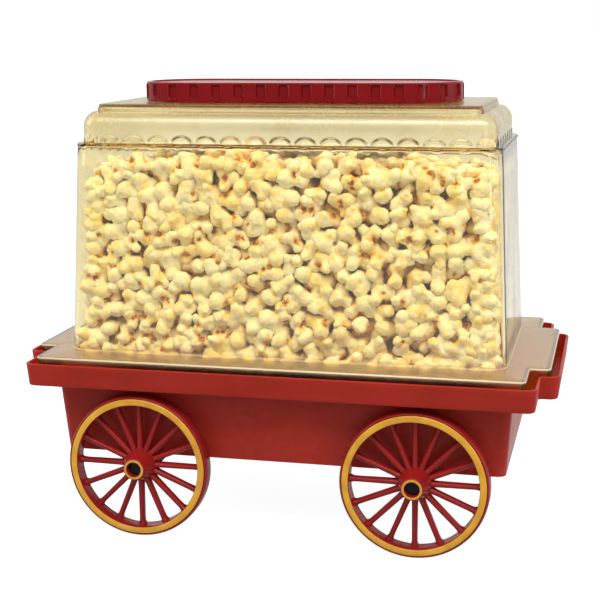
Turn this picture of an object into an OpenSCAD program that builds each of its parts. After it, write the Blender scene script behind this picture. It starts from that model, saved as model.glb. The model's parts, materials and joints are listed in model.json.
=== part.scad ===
// Tabletop popcorn maker in the shape of a four-wheeled cart.
// Millimetres. The floor is z = 0 and the origin is under the middle of the cart.
// +X runs along the cart, -Y is the front and +Z is up.

/* [Wheels] */
// Radius of a wheel over its tread
wheel_r = 54.5; // [50:0.5:54.5]
// Distance between the two axles
wheel_base = 209; // [190:1:220]
// Depth of a wheel's rim
rim_depth = 13; // [10:0.5:13]
// Number of spokes in a wheel
spoke_count = 16; // [8:1:20]
// Thickness of a spoke
spoke_w = 4.4; // [3:0.2:5]
// Radius of the steel axles
axle_r = 3; // [2.5:0.1:3.2]

/* [Base] */
// Half length of the tray's middle section
tray_end_x = 204; // [200:1:210]
// Half length of the tray's front and back strips
tray_side_x = 190.5; // [187:0.5:192]
// Half depth of the tray
tray_y = 111.5; // [109:0.5:112]
// Half depth of the tray's middle section
tray_notch_y = 71.6; // [68:0.1:72]
// Height of the tray's underside above the floor
tray_z = 114; // [114:0.5:116]
// Height of the tray's rim above its underside
tray_h = 17.2; // [15:0.2:18]
// Half length of the lower housing at its bottom
housing_x = 168; // [164:0.1:168]
// Half depth of the lower housing at its bottom
housing_y = 86; // [85:0.5:87]
// How much wider the housing is at its top, on each side
housing_flare = 4.2; // [2:0.1:4.2]
// Wall thickness of the red mouldings
wall = 2.4; // [2:0.1:2.6]

/* [Cover] */
// Half length of the dome at its foot
dome_x = 166; // [160:0.1:167]
// Half depth of the dome at its foot
dome_y = 82; // [80:0.1:82.5]
// Height of the ridge round the dome above the floor
ridge_z = 293.3; // [285:0.1:294]
// Height of the dome's shoulder above the floor
shoulder_z = 317; // [312:0.5:317]
// Wall thickness of the cover
cover_wall = 2.4; // [2:0.1:2.6]

/* [Cap] */
// Half length of the cap
cap_x = 123.2; // [118:0.1:124]
// Half depth of the cap, which is the radius of its ends
cap_y = 41.5; // [41:0.1:43]
// Height of the cap
cap_h = 15; // [15:0.5:18]
// Number of finger pockets round the cap
pocket_count = 34; // [24:2:36]

/* [Popper] */
// Inner radius of the heating pan
pan_r = 74; // [72:0.5:74]
// Radius of the ring of the heating element
element_r = 48; // [46:1:50]
// Radius of the drive shaft
shaft_r = 3; // [2.8:0.1:3.1]
// Length of the stir rod's longer arm
stir_arm = 66; // [50:1:67]
// Teeth on each of the two pinions
pinion_teeth = 12; // [12:1:12]
// Teeth on each of the two large gears
gear_teeth = 48; // [48:1:48]
// Module of the gears
gear_module = 0.7; // [0.7:0.1:0.7]

/* [Hidden] */
$fn = 64;
eps = 0.01;
running = 0.05;

red = "#8e2a22";
dark_red = "#7a1c1e";
amber = [0.82, 0.68, 0.32, 0.45];

// Wheels and axles
axle_z = wheel_r;
hub_face_y = 113.3;
rim_face_y = 106.9;
rim_back_y = rim_face_y - rim_depth;
hub_back_y = 88.5;
hub_seat_y = 104;
rim_r = 47.4;
band_r = 52.7;
hub_r = 12;
hub_hole_r = 5.4;
axle_end_y = 107.4;
axle_x = wheel_base / 2;

// Base
floor_z = tray_z + wall;
rim_z = tray_z + tray_h;
base_z = 59.2;
plate_z = base_z + wall;
ledge_w = 5;
boss_x = 150;
boss_y = 68;
boss_r = 5;
bracket_y = 84;
bracket_w = 13;

// Cover
flange_z = rim_z + 5.1;
flange_t = 2.4;
flange_end_x = tray_end_x - 7;
flange_side_x = tray_side_x - 8.4;
flange_y = tray_y - 4;
flange_notch_y = tray_notch_y - 3.8;
ridge_h = 2;
ridge_x = dome_x - 6.8;
ridge_y = dome_y - 7;
shoulder_in = 4;
shoulder_r = 12;
ledge_z = shoulder_z + 4.5;
ledge_x = 144;
ledge_y = 64;
dome_corner = 14;
cap_wall = 2.2;
collar_x = cap_x - cap_wall - 0.4;
collar_y = cap_y - cap_wall - 0.4;
collar_t = 2.2;
collar_h = 10.5;

// Popper stack, from the pan down
pan_t = 1.5;
pan_floor_z = 103;
pan_under_z = pan_floor_z - pan_t;
pan_flange_r = 80;
gasket_t = 1.6;
element_tube_r = 3.2;
pin_angle = 12;
element_z = pan_under_z - element_tube_r - 0.1;
clamp_t = 1.2;
clamp_top_z = element_z - element_tube_r;
shield_t = 1.2;
shield_z = 86.8;
shield_r = 79.2;
stud_r = 2;
stud_pcr = 60;
bracket_t = 1.2;
bracket_z = shield_z - bracket_t;

// Gear motor below the bracket
case_top_z = bracket_z;
case_lid_t = 2;
case_floor_t = 1.6;
case_z = 71.8;
case_r = 21;
case_wall = 1.8;
gear_gap = (pinion_teeth + gear_teeth) * gear_module / 2;
idler_x = gear_gap;
rotor_x = 2 * gear_gap;
lower_gear_z = 74;
gear_t = 3.4;
upper_gear_z = 78.2;
upper_gear_t = 4.4;
can_r = 25;
can_z = 62.6;
ear_x = 15.5;
ear_y = 18;
bracket_ear_y = 34;

// Cord inlet on the back of the housing
gland_x = 0;
gland_z = 76;
gland_face_y = 87.2;
gland_bore_r = 3.75;
terminal_x = 100;
terminal_z = plate_z + 6;
lead_r = 1.2;

// Stirrer
shaft_top_z = 114.5;
rod_top_z = 117.2;
rod_r = 1.5;

function arc(cx, cy, r, from, to, steps) =
    [for (i = [0:steps]) let (a = from + (to - from) * i / steps) [cx + r * cos(a), cy + r * sin(a)]];

// Rectangle with rounded corners, from its half sizes
module rounded(x, y, r) {
    polygon(concat(
        arc(x - r, y - r, r, 0, 90, 8), arc(-x + r, y - r, r, 90, 180, 8),
        arc(-x + r, -y + r, r, 180, 270, 8), arc(x - r, -y + r, r, 270, 360, 8)));
}

// Plan of the tray and the flange: a long middle section and shorter front and back strips
module cart_plan(end_x, side_x, y, notch_y, r) {
    rounded(end_x, notch_y, r);
    rounded(side_x, y, r);
}

module slab(x, y, r, z, t = eps) {
    translate([0, 0, z]) linear_extrude(t) rounded(x, y, r);
}

module stadium(x, y) {
    square([2 * (x - y), 2 * y], center = true);
    for (side = [-1, 1]) translate([side * (x - y), 0]) circle(y);
}

module tube(r, hole_r, z, h) {
    translate([0, 0, z]) linear_extrude(h) difference() {
        circle(r);
        circle(hole_r);
    }
}

module disc(r, z, h) {
    translate([0, 0, z]) cylinder(r = r, h = h);
}

// Cylinder along Y from y1 to y2
module y_rod(r, y1, y2) {
    translate([0, y1, 0]) rotate([-90, 0, 0]) cylinder(r = r, h = y2 - y1);
}

module at_corners(x, y) {
    for (sx = [-1, 1], sy = [-1, 1]) translate([sx * x, sy * y, 0]) children();
}

module at_studs() {
    for (a = [45:90:315]) rotate(a) translate([stud_pcr, 0, 0]) children();
}

// Wire through a list of points: twelve-sided rods that run past each other at the corners
module wire(points, r) {
    last = len(points) - 2;
    for (i = [0:last]) let (
        d = points[i + 1] - points[i], len_xy = norm([d[0], d[1]]),
        before = i == 0 ? 0 : 0.7 * r, after = i == last ? 0 : 0.7 * r)
        translate(points[i])
            rotate([0, atan2(len_xy, d[2]), atan2(d[1], d[0])])
                translate([0, 0, -before]) cylinder(r = r, h = norm(d) + before + after, $fn = 12);
}

// Involute gear, with stub teeth, backlash and a tooth centred on +X
function involute_angle(base_r, r) = let (t = sqrt(max(0, pow(r / base_r, 2) - 1))) t * 180 / PI - atan(t);

module gear_2d(teeth, module_mm) {
    pitch_r = teeth * module_mm / 2;
    base_r = pitch_r * cos(20);
    tip_r = pitch_r + 0.75 * module_mm;
    root_r = pitch_r - module_mm;
    backlash = 0.12 * module_mm;
    half_pitch = 90 / teeth - backlash / pitch_r * 90 / PI;
    half_base = half_pitch + involute_angle(base_r, pitch_r);
    start_r = max(base_r, root_r);
    steps = 3;
    flank = [for (i = [0:steps]) let (r = start_r + (tip_r - start_r) * i / steps)
        [r, half_base - involute_angle(base_r, r)]];
    polygon([for (tooth = [0:teeth - 1]) let (a = tooth * 360 / teeth) each concat(
        [[root_r * cos(a - half_base), root_r * sin(a - half_base)]],
        [for (p = flank) [p[0] * cos(a - p[1]), p[0] * sin(a - p[1])]],
        [for (i = [steps:-1:0]) let (p = flank[i]) [p[0] * cos(a + p[1]), p[0] * sin(a + p[1])]],
        [[root_r * cos(a + half_base), root_r * sin(a + half_base)]])]);
}

// ---- Base ----

module tray() {
    color(red) difference() {
        union() {
            translate([0, 0, tray_z]) linear_extrude(tray_h)
                cart_plan(tray_end_x, tray_side_x, tray_y, tray_notch_y, 8);
            at_corners(boss_x, boss_y) disc(boss_r, plate_z, tray_z - plate_z + eps);
        }
        translate([0, 0, floor_z]) linear_extrude(tray_h)
            cart_plan(tray_end_x - wall, tray_side_x - wall, tray_y - wall, tray_notch_y - wall, 6);
        disc(pan_r + pan_t + 1, tray_z - 1, tray_h);
        at_corners(boss_x, boss_y) disc(1.5, plate_z - 1, 16);
    }
}

// Tapered box without floor or lid, and a ledge that the bottom cover pulls on
module lower_housing() {
    top_x = housing_x + housing_flare;
    top_y = housing_y + housing_flare;
    ledge_top = plate_z + wall;
    color(dark_red) difference() {
        union() {
            difference() {
                hull() {
                    slab(housing_x, housing_y, 6, base_z);
                    slab(top_x, top_y, 6, tray_z - eps);
                }
                hull() {
                    slab(housing_x - wall, housing_y - wall, 4, base_z - eps);
                    slab(top_x - wall, top_y - wall, 4, tray_z);
                }
            }
            translate([0, 0, plate_z]) linear_extrude(ledge_top - plate_z) difference() {
                rounded(housing_x - wall / 2, housing_y - wall / 2, 5);
                rounded(housing_x - wall - ledge_w, housing_y - wall - ledge_w, 4);
            }
            translate([gland_x, 0, gland_z]) y_rod(11, gland_face_y - 5, gland_face_y + 0.3);
        }
        translate([gland_x, 0, gland_z]) y_rod(9, gland_face_y, gland_face_y + 8);
        translate([gland_x, 0, gland_z]) y_rod(6.1, gland_face_y - 9, gland_face_y + 8);
    }
}

// Plate with cooling slots and four brackets for the axles
module bottom_cover() {
    plate_x = housing_x - wall - 0.5;
    plate_y = housing_y - wall - 0.5;
    color("#3a3634") difference() {
        union() {
            translate([0, 0, base_z]) linear_extrude(wall) rounded(plate_x, plate_y, 4);
            for (x = [-axle_x, axle_x], side = [-1, 1])
                translate([x, side * (bracket_y - bracket_w / 2), 0]) axle_bracket();
        }
        for (x = [-axle_x, axle_x]) translate([x, 0, axle_z]) y_rod(axle_r + 0.1, -95, 95);
        for (row = [-1, 1], i = [-6:6])
            translate([i * 9, row * 34, base_z - 1]) linear_extrude(wall + 2) {
                square([3, 30], center = true);
            }
        at_corners(boss_x, boss_y) disc(1.9, base_z - 1, wall + 2);
        at_corners(boss_x, boss_y) disc(3.6, base_z - 1, 2.2);
    }
}

module axle_bracket() {
    translate([0, bracket_w / 2, 0]) rotate([90, 0, 0]) linear_extrude(bracket_w)
        polygon([[-17.5, base_z + eps], [-9, axle_z - 5], [9, axle_z - 5], [17.5, base_z + eps]]);
}

module case_screws() {
    color("silver") at_corners(boss_x, boss_y) {
        disc(1.45, base_z + 1.2, 14);
        disc(3.4, base_z - 0.6, 1.8);
    }
}

// ---- Axles and wheels ----

module axle(x) {
    color("silver") translate([x, 0, axle_z]) y_rod(axle_r, -axle_end_y, axle_end_y);
}

module axle_left() axle(-axle_x);

module axle_right() axle(axle_x);

// Spring clips on the axles, against the inner faces of the brackets
module axle_clips() {
    clip_y = bracket_y - bracket_w - 1.2;
    color("dimgray") for (x = [-axle_x, axle_x], side = [-1, 1])
        translate([x, side * clip_y, axle_z]) rotate([90, 0, 0])
            translate([0, 0, -0.5]) linear_extrude(1) difference() {
                circle(axle_r + 1.6);
                circle(axle_r);
            }
}

// Push-on caps over the axle ends, down in the hubs
module axle_caps() {
    cap_back_y = hub_seat_y + 0.4;
    cap_face_y = axle_end_y + 1.6;
    color("black") for (x = [-axle_x, axle_x], side = [-1, 1])
        translate([x, 0, axle_z]) rotate([side > 0 ? -90 : 90, 0, 0]) difference() {
            disc(hub_hole_r - 0.5, cap_back_y, cap_face_y - cap_back_y);
            disc(axle_r, cap_back_y - 1, axle_end_y - cap_back_y + 1);
        }
}

// Wheel on +Z, with its face up, at its height above the cart's middle plane
module wheel_body() {
    spoke_z = rim_back_y + 4;
    difference() {
        union() {
            rotate_extrude($fn = 128) polygon([
                [rim_r, rim_back_y], [wheel_r - 1.2, rim_back_y], [wheel_r, rim_back_y + 1.2],
                [wheel_r, rim_face_y - 1.6], [wheel_r - 0.5, rim_face_y - 0.5],
                [band_r, rim_face_y - 0.1], [band_r, rim_face_y], [rim_r, rim_face_y]]);
            rotate_extrude() polygon([
                [0, hub_back_y], [8, hub_back_y], [9, rim_back_y], [hub_r - 1, rim_back_y + 0.5],
                [hub_r, rim_back_y + 2], [hub_r, spoke_z + 3.5], [hub_r - 1.2, spoke_z + 7],
                [hub_r - 3, hub_face_y - 4], [7.6, hub_face_y], [0, hub_face_y]]);
            for (i = [0:spoke_count - 1]) rotate(i * 360 / spoke_count + 90)
                translate([hub_r - 2, 0, spoke_z]) rotate([0, 90, 0])
                    cylinder(r = spoke_w / 2, h = rim_r - hub_r + 3, $fn = 24);
        }
        disc(hub_hole_r, hub_seat_y, 20);
        disc(axle_r + running, 0, hub_face_y);
    }
}

module wheel(x, side) {
    color(dark_red) translate([x, 0, axle_z]) rotate([side > 0 ? -90 : 90, 0, 0]) wheel_body();
}

module wheel_front_left() wheel(-axle_x, -1);

module wheel_front_right() wheel(axle_x, -1);

module wheel_rear_left() wheel(-axle_x, 1);

module wheel_rear_right() wheel(axle_x, 1);

// ---- Heating pan ----

// Round dish with a flange and a collar round the drive shaft
module heating_pan() {
    flange_z1 = floor_z + gasket_t;
    color("dimgray") rotate_extrude($fn = 96) difference() {
        polygon([
            [3.5, pan_under_z], [pan_r - 8 + pan_t, pan_under_z], [pan_r + pan_t, pan_floor_z + 8],
            [pan_r + pan_t, flange_z1], [pan_flange_r, flange_z1], [pan_flange_r, flange_z1 + 1.2],
            [pan_r, flange_z1 + 1.2], [pan_r, pan_floor_z + 8.5], [pan_r - 8, pan_floor_z],
            [6.5, pan_floor_z], [6.5, pan_floor_z + 5.5], [3.5, pan_floor_z + 5.5]]);
    }
}

module pan_gasket() {
    color("firebrick") tube(pan_flange_r + 0.5, pan_r + pan_t + 1, floor_z, gasket_t);
}

module pan_studs() {
    color("silver") at_studs() disc(stud_r, bracket_z - 5.4, pan_under_z - bracket_z + 5.4);
}

module pan_nuts() {
    color("silver") at_studs() translate([0, 0, bracket_z - 3.2]) linear_extrude(3.2) difference() {
        circle(3.9, $fn = 6);
        circle(stud_r);
    }
}

module pan_spacers() {
    color("ivory") at_studs()
        tube(4, stud_r + 0.1, shield_z + shield_t, clamp_top_z - clamp_t - shield_z - shield_t);
}

// Tubular element, nearly a full ring, with a terminal pin down from each end
module heating_element() {
    gap = 8;
    color("slategray") {
        translate([0, 0, element_z]) rotate(180 + gap) rotate_extrude(angle = 360 - 2 * gap, $fn = 96)
            translate([element_r, 0]) circle(element_tube_r, $fn = 32);
        for (a = [180 - pin_angle, 180 + pin_angle])
            rotate(a) translate([element_r, 0, element_z - 16])
                cylinder(r = 2, h = 16, $fn = 32);
    }
}

module element_clamp() {
    color("gainsboro") translate([0, 0, clamp_top_z - clamp_t]) linear_extrude(clamp_t) difference() {
        circle(66, $fn = 96);
        circle(36);
        at_studs() circle(stud_r + 0.2, $fn = 32);
        translate([-element_r, 0]) square([12, 30], center = true);
    }
}

module thermostat() {
    color("tan") translate([-17, -17, 0]) {
        disc(8, pan_under_z - 9.6, 9.5);
        for (side = [-1, 1]) translate([side * 5, 0, pan_under_z - 11.3])
            cube([0.8, 5, 3.4], center = true);
    }
}

module thermal_fuse() {
    color("lightgray") translate([18, -24, pan_under_z - 2.6]) {
        y_rod(2, 0, 13);
        y_rod(2.5, 4, 9);
    }
}

// Steel bowl below the pan, with a flange against the underside of the tray
module heat_shield() {
    color("silver") difference() {
        rotate_extrude($fn = 96) polygon([
            [7, shield_z], [shield_r, shield_z], [shield_r, tray_z - shield_t], [85.5, tray_z - shield_t],
            [85.5, tray_z], [shield_r - shield_t, tray_z], [shield_r - shield_t, shield_z + shield_t],
            [7, shield_z + shield_t]]);
        at_studs() disc(stud_r + 0.2, shield_z - 1, 4);
        for (a = [180 - pin_angle, 180 + pin_angle]) rotate(a) translate([element_r, 0, 0])
            disc(element_tube_r + 1, shield_z - 1, 4);
    }
}

// ---- Gear motor ----

module motor_bracket() {
    color("silver") translate([0, 0, bracket_z]) linear_extrude(bracket_t) difference() {
        rounded(49, 49, 6);
        circle(5.6);
        at_studs() circle(stud_r + 0.2, $fn = 32);
        for (a = [180 - pin_angle, 180 + pin_angle]) rotate(a) translate([element_r, 0]) circle(7);
        for (side = [-1, 1]) translate([idler_x, side * bracket_ear_y]) circle(1.2, $fn = 24);
    }
}

module bracket_screws() {
    color("dimgray") for (side = [-1, 1]) translate([idler_x, side * bracket_ear_y, 0]) {
        disc(1.15, case_top_z - case_lid_t - 0.5, case_lid_t + bracket_t + 0.4);
        disc(3, case_top_z - case_lid_t - 2, 2);
    }
}

module case_plan(r) {
    translate([rotor_x / 2, 0]) square([rotor_x, 2 * r], center = true);
    for (x = [0, rotor_x]) translate([x, 0]) circle(r);
}

// Places of the four screws that close the gear case
module at_ears() {
    for (x = [-ear_x, rotor_x + ear_x], side = [-1, 1]) translate([x, side * ear_y, 0]) children();
}

module gear_case() {
    lid_z = case_top_z - case_lid_t;
    color("gray") difference() {
        union() {
            translate([0, 0, case_z]) linear_extrude(lid_z - case_z) case_plan(case_r);
            at_ears() disc(4, case_z + 2, lid_z - case_z - 2);
        }
        translate([0, 0, case_z + case_floor_t]) linear_extrude(20) case_plan(case_r - case_wall);
        at_ears() disc(1.2, lid_z - 7, 10);
        disc(shaft_r + running, case_z + 0.4, 10);
        translate([rotor_x, 0, 0]) disc(1.5, case_z - 1, 4);
    }
}

module gear_case_cover() {
    lid_z = case_top_z - case_lid_t;
    color("lightgray") difference() {
        translate([0, 0, lid_z]) linear_extrude(case_lid_t) {
            case_plan(case_r);
            at_ears() circle(4);
            translate([idler_x, 0]) stadium_ears();
        }
        at_ears() disc(1.7, lid_z - 1, 4);
        at_ears() disc(2.9, case_top_z - 1.2, 2);
        disc(5, lid_z - 1, 4);
        translate([rotor_x, 0, 0]) disc(1 + running, lid_z - 1, case_lid_t);
        for (side = [-1, 1]) translate([idler_x, side * bracket_ear_y, 0]) disc(1.4, lid_z - 1, 4);
    }
}

module stadium_ears() {
    square([9, 2 * bracket_ear_y], center = true);
    for (side = [-1, 1]) translate([0, side * bracket_ear_y]) circle(4.5);
}

module gear_case_screws() {
    color("dimgray") at_ears() {
        disc(1.15, case_top_z - 8, 7.5);
        disc(2.7, case_top_z - 1.2, 1.1);
    }
}

module motor_case() {
    color("silver") translate([rotor_x, 0, 0]) difference() {
        disc(can_r, can_z, case_z - can_z);
        disc(can_r - 0.8, can_z + 0.8, case_z);
        disc(1.1, can_z - 1, 3);
    }
}

module motor_coil() {
    color("peru") translate([rotor_x, 0, 0]) tube(can_r - 1.2, 13, can_z + 1, 8);
}

// Magnet, shaft and pinion, which turn together
module motor_rotor() {
    color("dimgray") translate([rotor_x, 0, 0]) {
        disc(11, can_z + 1.6, 6.6);
        disc(1, can_z + 0.2, case_top_z - can_z - 1.4);
        translate([0, 0, lower_gear_z]) rotate(180 / pinion_teeth) linear_extrude(gear_t)
            gear_2d(pinion_teeth, gear_module);
    }
}

module idler_pin() {
    color("silver") translate([idler_x, 0, 0])
        disc(1.2, case_z + case_floor_t, case_top_z - case_lid_t - case_z - case_floor_t);
}

// Large gear that the rotor's pinion drives, with the small pinion that drives the output gear
module idler_gear() {
    color("ivory") translate([idler_x, 0, 0]) difference() {
        union() {
            translate([0, 0, lower_gear_z]) linear_extrude(gear_t) gear_2d(gear_teeth, gear_module);
            translate([0, 0, lower_gear_z + gear_t - eps]) rotate(180 / pinion_teeth)
                linear_extrude(upper_gear_z + upper_gear_t - lower_gear_z - gear_t)
                    gear_2d(pinion_teeth, gear_module);
        }
        disc(1.2 + running, lower_gear_z - 1, 12);
    }
}

module output_gear() {
    color("ivory") difference() {
        translate([0, 0, upper_gear_z]) linear_extrude(upper_gear_t) gear_2d(gear_teeth, gear_module);
        disc(shaft_r, upper_gear_z - 1, 8);
    }
}

module drive_shaft() {
    color("silver") disc(shaft_r, case_z + 0.6, shaft_top_z - case_z - 0.6);
}

module shaft_bush() {
    color("darkgoldenrod") tube(5, shaft_r + running, case_top_z - case_lid_t, 7.6);
}

// ---- Stirrer ----

module stirrer_hub() {
    color("gray") difference() {
        rotate_extrude() polygon([
            [0, pan_floor_z + 6.2], [8, pan_floor_z + 6.2], [8.6, pan_floor_z + 7], [8.6, 117.5],
            [7, 120.5], [3, 122], [0, 122]]);
        disc(shaft_r, pan_floor_z, shaft_top_z - pan_floor_z);
        translate([-20, 0, rod_top_z]) rotate([0, 90, 0]) cylinder(r = rod_r, h = 40, $fn = 24);
    }
}

// Bent wire through the hub: each arm drops to the pan's floor and runs out to its edge
module stir_rod() {
    arm_z = pan_floor_z + 2.2;
    short_arm = stir_arm - 14;
    color("silver") wire([
        [-short_arm, 0, arm_z + 5], [-short_arm + 6, 0, arm_z], [-16, 0, arm_z], [-12, 0, rod_top_z],
        [12, 0, rod_top_z], [16, 0, arm_z], [stir_arm - 6, 0, arm_z], [stir_arm, 0, arm_z + 5]], rod_r);
}

// ---- Electrical parts ----

module cord_gland() {
    color("black") translate([gland_x, 0, gland_z]) difference() {
        union() {
            y_rod(8.5, gland_face_y, gland_face_y + 3);
            y_rod(6, gland_face_y - 8, gland_face_y + eps);
            y_rod(8.2, gland_face_y - 8, gland_face_y - 5);
        }
        y_rod(gland_bore_r, gland_face_y - 9, gland_face_y + 4);
    }
}

module terminal_block() {
    color("white") difference() {
        translate([terminal_x, 52, plate_z]) cube([36, 14, 12]);
        for (i = [0:2]) translate([terminal_x + 6 + 12 * i, 0, terminal_z]) y_rod(2.2, 50, 68);
    }
}

// Insulated wires from the inlet to the terminals, and from there to the element and the motor
module internal_leads() {
    color("white") for (i = [0, 1]) let (
        inlet_x = gland_x - 2.2 + 4.4 * i, hole_x = terminal_x + 6 + 12 * i,
        run_y = 46 - 6 * i, run_z = terminal_z - 3 * i, end_x = -58 + 6 * i, end_y = 10 - 20 * i) {
        wire([
            [inlet_x, gland_face_y - 8.5, gland_z], [inlet_x, 74 + 2.6 * i, gland_z],
            [hole_x, 70 + 5 * i, terminal_z], [hole_x, 64, terminal_z]], lead_r);
        wire([
            [hole_x, 54, terminal_z], [hole_x, run_y, run_z], [end_x, run_y, run_z],
            [end_x, end_y, run_z], [-47, end_y, 72], [-47, end_y, 82]], lead_r);
    }
    color("white") wire([
        [terminal_x + 30, 54, terminal_z], [terminal_x + 30, 20, terminal_z],
        [rotor_x + can_r + 1, 0, terminal_z]], lead_r);
}

// ---- Cover and cap ----

// Solid dome, or the space inside it when every wall is moved in by inset
module dome(inset, foot_z) {
    r = dome_corner - inset;
    sx = ridge_x - shoulder_in - inset;
    sy = ridge_y - shoulder_in - inset;
    top_z = shoulder_z - inset;
    round_r = shoulder_r - inset;
    hull() {
        slab(dome_x - inset, dome_y - inset, r, foot_z, 0.5);
        slab(ridge_x - inset, ridge_y - inset, r, ridge_z - inset - 0.5, 0.5);
    }
    hull() {
        slab(sx, sy, r - 1, ridge_z - 12, 12 + top_z - ridge_z - round_r);
        slab(sx - 0.3 * round_r, sy - 0.3 * round_r, r - 1 - 0.18 * round_r, top_z - 0.3 * round_r - 0.5, 0.5);
        slab(sx - round_r, sy - round_r, r - 1 - 0.6 * round_r, top_z - 0.5, 0.5);
    }
}

module cover() {
    color(amber) difference() {
        union() {
            dome(0, flange_z - 1);
            slab(ridge_x + 0.8, ridge_y + 0.8, dome_corner, ridge_z - ridge_h, ridge_h);
            slab(ledge_x, ledge_y, 9, shoulder_z - 4, ledge_z - shoulder_z + 4);
            translate([0, 0, ledge_z - eps]) linear_extrude(collar_h) stadium(collar_x, collar_y);
            translate([0, 0, floor_z]) linear_extrude(flange_z - floor_z)
                cart_plan(flange_end_x, flange_side_x, flange_y, flange_notch_y, 3);
        }
        dome(cover_wall, flange_z - flange_t - 1);
        translate([0, 0, shoulder_z - 8]) linear_extrude(40)
            stadium(collar_x - collar_t, collar_y - collar_t);
        translate([0, 0, floor_z - 1]) linear_extrude(flange_z - flange_t - floor_z + 1)
            cart_plan(flange_end_x - cover_wall, flange_side_x - cover_wall, flange_y - cover_wall,
                flange_notch_y - cover_wall, 2);
    }
}

// Point and direction on the cap's outline at a distance along it
function cap_side(s, straight) =
    s < straight ? [[-straight / 2 + s, -cap_y], 0]
    : let (a = (s - straight) / cap_y * 180 / PI) [[straight / 2 + cap_y * sin(a), -cap_y * cos(a)], a];

module cap() {
    straight = 2 * (cap_x - cap_y);
    half_way = straight + PI * cap_y;
    top_z = ledge_z + cap_h;
    color(dark_red) difference() {
        union() {
            translate([0, 0, ledge_z]) linear_extrude(cap_h - 1) stadium(cap_x, cap_y);
            translate([0, 0, ledge_z]) linear_extrude(cap_h) stadium(cap_x - 1, cap_y - 1);
        }
        translate([0, 0, ledge_z - 1]) linear_extrude(cap_h - 1.6)
            stadium(cap_x - cap_wall, cap_y - cap_wall);
        for (turn = [0, 180], i = [0:pocket_count / 2 - 1])
            let (spot = cap_side((i + 0.5) * half_way / (pocket_count / 2), straight))
                rotate(turn) translate([spot[0][0], spot[0][1], top_z - 1.8]) rotate(spot[1]) pocket();
    }
}

// U-shaped finger pocket in the cap's skirt, with its round end down
module pocket() {
    translate([-3.1, -1, -7.6]) cube([6.2, 2, 7.6]);
    translate([0, -1, -7.6]) rotate([-90, 0, 0]) cylinder(r = 3.1, h = 2, $fn = 24);
}

tray();
lower_housing();
bottom_cover();
case_screws();
axle_left();
axle_right();
axle_clips();
axle_caps();
wheel_front_left();
wheel_front_right();
wheel_rear_left();
wheel_rear_right();
heating_pan();
pan_gasket();
pan_studs();
pan_nuts();
pan_spacers();
heating_element();
element_clamp();
thermostat();
thermal_fuse();
heat_shield();
motor_bracket();
bracket_screws();
gear_case();
gear_case_cover();
gear_case_screws();
motor_case();
motor_coil();
motor_rotor();
idler_pin();
idler_gear();
output_gear();
drive_shaft();
shaft_bush();
stirrer_hub();
stir_rod();
cord_gland();
terminal_block();
internal_leads();
cover();
cap();
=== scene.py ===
"""A tabletop popcorn maker in the shape of a cart, seen from its front right.

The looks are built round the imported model: the finer shells replace the plain ones in the same places.
"""
import json
import math

import bmesh
import bpy
import numpy as np
from mathutils import Euler, Matrix, Vector, geometry, noise


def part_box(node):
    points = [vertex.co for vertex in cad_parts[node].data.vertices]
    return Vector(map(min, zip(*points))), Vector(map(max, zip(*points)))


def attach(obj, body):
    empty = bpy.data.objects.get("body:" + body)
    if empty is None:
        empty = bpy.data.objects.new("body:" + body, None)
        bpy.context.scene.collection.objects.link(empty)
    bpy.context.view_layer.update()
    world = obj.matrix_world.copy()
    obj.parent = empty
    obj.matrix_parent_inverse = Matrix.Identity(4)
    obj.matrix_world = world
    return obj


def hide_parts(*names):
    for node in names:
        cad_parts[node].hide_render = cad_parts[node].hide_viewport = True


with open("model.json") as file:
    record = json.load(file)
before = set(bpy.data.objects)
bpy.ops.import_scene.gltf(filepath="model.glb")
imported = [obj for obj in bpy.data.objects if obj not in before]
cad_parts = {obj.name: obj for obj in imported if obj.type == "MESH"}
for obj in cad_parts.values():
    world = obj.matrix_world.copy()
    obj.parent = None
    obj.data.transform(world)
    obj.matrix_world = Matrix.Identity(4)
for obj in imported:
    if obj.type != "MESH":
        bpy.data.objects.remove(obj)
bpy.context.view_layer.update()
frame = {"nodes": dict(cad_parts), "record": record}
MM = 0.001

# ---------------------------------------------------------------- sizes, from the frame where it has them
TRAY_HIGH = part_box("tray")[1]
HOUSING_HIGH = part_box("lower_housing")[1]
COVER_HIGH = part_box("cover")[1]
CAP_LOW, CAP_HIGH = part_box("cap")

WALL = 2.4 * MM
TRAY_END = (TRAY_HIGH.x, 71.6 * MM)
TRAY_SIDE = (TRAY_HIGH.x - 13.5 * MM, TRAY_HIGH.y)
TRAY_CORNER = 8 * MM
TRAY_DRAFT = 1.5 * MM
TRAY_BASE, TRAY_RIM = HOUSING_HIGH.z, TRAY_HIGH.z
PAN_HOLE_R = 76.5 * MM

FLANGE_END = (COVER_HIGH.x, 67.8 * MM)
FLANGE_SIDE = (COVER_HIGH.x - 14.9 * MM, COVER_HIGH.y)
FLANGE_TOP, FLANGE_T = 136.3 * MM, 2.4 * MM
FLANGE_CORNER = 5 * MM
SKIRT_STEP = 1.2 * MM

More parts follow.
